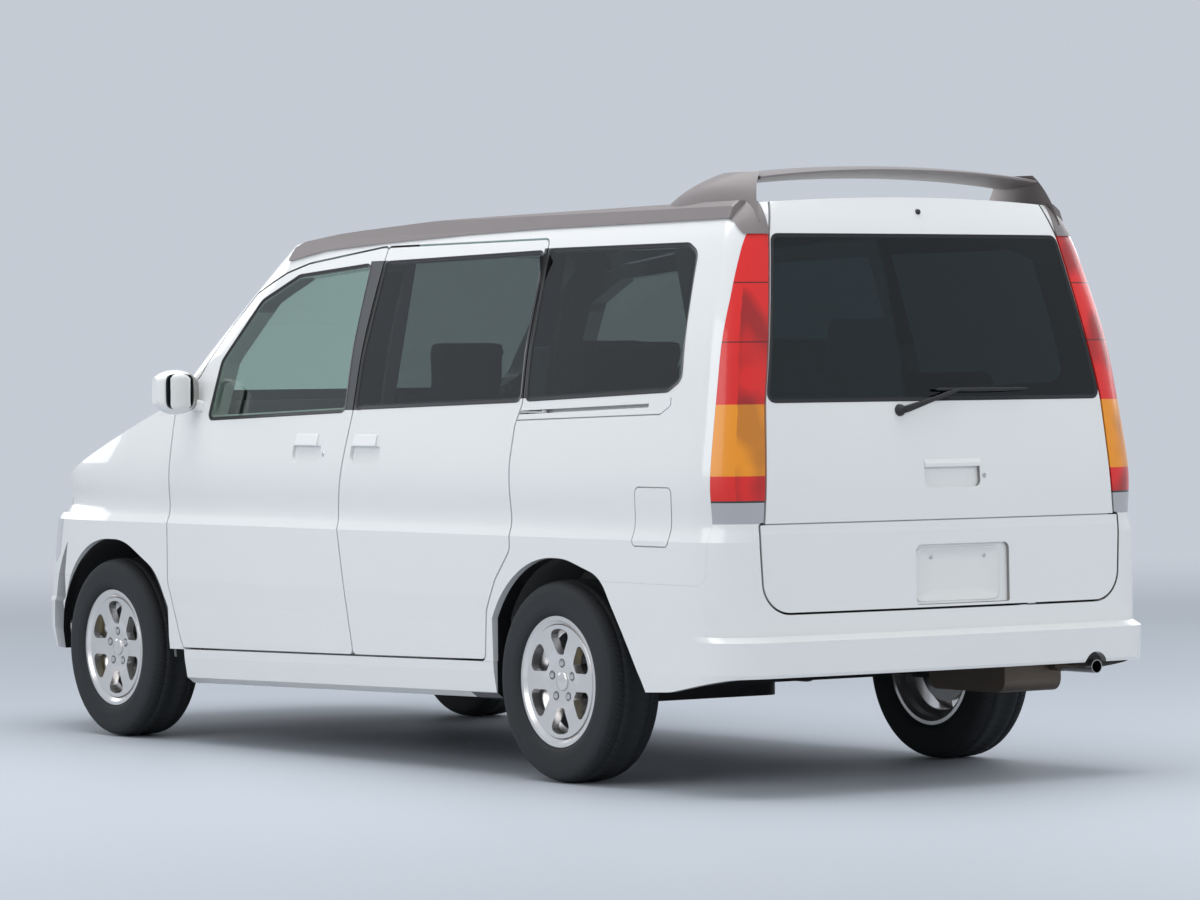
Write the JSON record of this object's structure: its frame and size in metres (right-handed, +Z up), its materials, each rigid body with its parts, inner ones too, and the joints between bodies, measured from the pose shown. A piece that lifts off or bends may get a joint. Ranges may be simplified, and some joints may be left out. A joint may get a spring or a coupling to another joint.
{
  "type": "minivan",
  "caption": "One-box family minivan with front steering, hinged front doors, a sliding side door, a bonnet and a full-height tailgate under a roof wing.",
  "frame": {"origin": "on the ground below the centre of the overall box", "axes": "+X forward, +Y to the car's left, +Z up"},
  "size_m": [4.6248, 1.962, 1.9184],
  "materials": {
    "white_paint": "gloss white",
    "roof_trim": "satin grey brown",
    "lamp_lens": "clear red lens",
    "front_glass": "green tint",
    "dark_glass": "privacy tint",
    "black_plastic": "grained",
    "seat_cloth": "woven",
    "underbody": "matt black",
    "cast_metal": "as cast",
    "exhaust_steel": "dull",
    "alloy": "polished",
    "tyre": "moulded rubber"
  },
  "bodies": {
    "root": {"roof_wing": "roof_trim", "roof_rails": "roof_trim", "body_side_left": "white_paint", "body_side_right": "white_paint", "tail_lamps": "lamp_lens", "roof_panel": "white_paint", "sliding_door": "white_paint", "sliding_door_glass": "dark_glass", "fixed_side_glass": "dark_glass", "windscreen": "front_glass", "cowl": "black_plastic", "front_wing_left": "white_paint", "front_wing_right": "white_paint", "headlamps": "lamp_lens", "grille": "black_plastic", "front_bumper": "white_paint", "rear_bumper": "white_paint", "side_sills": "white_paint", "front_seats": "seat_cloth", "middle_seats": "seat_cloth", "rear_seat": "seat_cloth", "dashboard": "black_plastic", "floor_pan": "underbody", "bulkhead": "underbody", "front_frame": "underbody", "engine_block": "cast_metal", "front_suspension": "underbody", "rear_axle": "underbody", "fuel_tank": "black_plastic", "exhaust": "exhaust_steel"},
    "door_left": {"front_door_left": "white_paint", "front_door_glass_left": "front_glass"},
    "door_right": {"front_door_right": "white_paint", "front_door_glass_right": "front_glass"},
    "bonnet": {"bonnet": "white_paint"},
    "tailgate": {"tailgate": "white_paint", "tailgate_glass": "dark_glass"},
    "knuckle_left": {"knuckle_left": "cast_metal"},
    "knuckle_right": {"knuckle_right": "cast_metal"},
    "steering_wheel": {"steering_wheel": "black_plastic"},
    "wheel_front_left": {"wheel_front_left": "alloy", "tyre_front_left": "tyre"},
    "wheel_front_right": {"wheel_front_right": "alloy", "tyre_front_right": "tyre"},
    "wheel_rear_left": {"wheel_rear_left": "alloy", "tyre_rear_left": "tyre"},
    "wheel_rear_right": {"wheel_rear_right": "alloy", "tyre_rear_right": "tyre"}
  },
  "joints": [
    {"name": "door_left_hinge", "type": "hinge", "parent": "root", "child": "door_left", "pos_m": [1.03, 0.842, 0.8], "axis": [0, 0, -1], "range_deg": [0, 65]},
    {"name": "door_right_hinge", "type": "hinge", "parent": "root", "child": "door_right", "pos_m": [1.03, -0.842, 0.8], "axis": [0, 0, 1], "range_deg": [0, 65]},
    {"name": "tailgate_hinge", "type": "hinge", "parent": "root", "child": "tailgate", "pos_m": [-2.069, 0, 1.819], "axis": [0, 1, 0], "range_deg": [0, 80]},
    {"name": "bonnet_hinge", "type": "hinge", "parent": "root", "child": "bonnet", "pos_m": [1.324, 0, 1.178], "axis": [0, -1, 0], "range_deg": [0, 55]},
    {"name": "steer_left", "type": "hinge", "parent": "root", "child": "knuckle_left", "pos_m": [1.46, 0.69, 0.318], "axis": [0, 0, 1], "range_deg": [-35, 35]},
    {"name": "steer_right", "type": "hinge", "parent": "root", "child": "knuckle_right", "pos_m": [1.46, -0.69, 0.318], "axis": [0, 0, 1], "range_deg": [-35, 35]},
    {"name": "steering_wheel_turn", "type": "hinge", "parent": "root", "child": "steering_wheel", "pos_m": [0.64, -0.37, 0.99], "axis": [-0.8988, 0, 0.4384], "range_deg": [-525, 525]},
    {"name": "spin_front_left", "type": "hinge", "parent": "knuckle_left", "child": "wheel_front_left", "pos_m": [1.46, 0.742, 0.318], "axis": [0, 1, 0], "continuous": true},
    {"name": "spin_front_right", "type": "hinge", "parent": "knuckle_right", "child": "wheel_front_right", "pos_m": [1.46, -0.742, 0.318], "axis": [0, 1, 0], "continuous": true},
    {"name": "spin_rear_left", "type": "hinge", "parent": "root", "child": "wheel_rear_left", "pos_m": [-1.34, 0.742, 0.318], "axis": [0, 1, 0], "continuous": true},
    {"name": "spin_rear_right", "type": "hinge", "parent": "root", "child": "wheel_rear_right", "pos_m": [-1.34, -0.742, 0.318], "axis": [0, 1, 0], "continuous": true}
  ],
  "couplings": [
    {"joint": "steer_right", "follows": "steer_left", "ratio": 1},
    {"joint": "steering_wheel_turn", "follows": "steer_left", "ratio": 15}
  ]
}
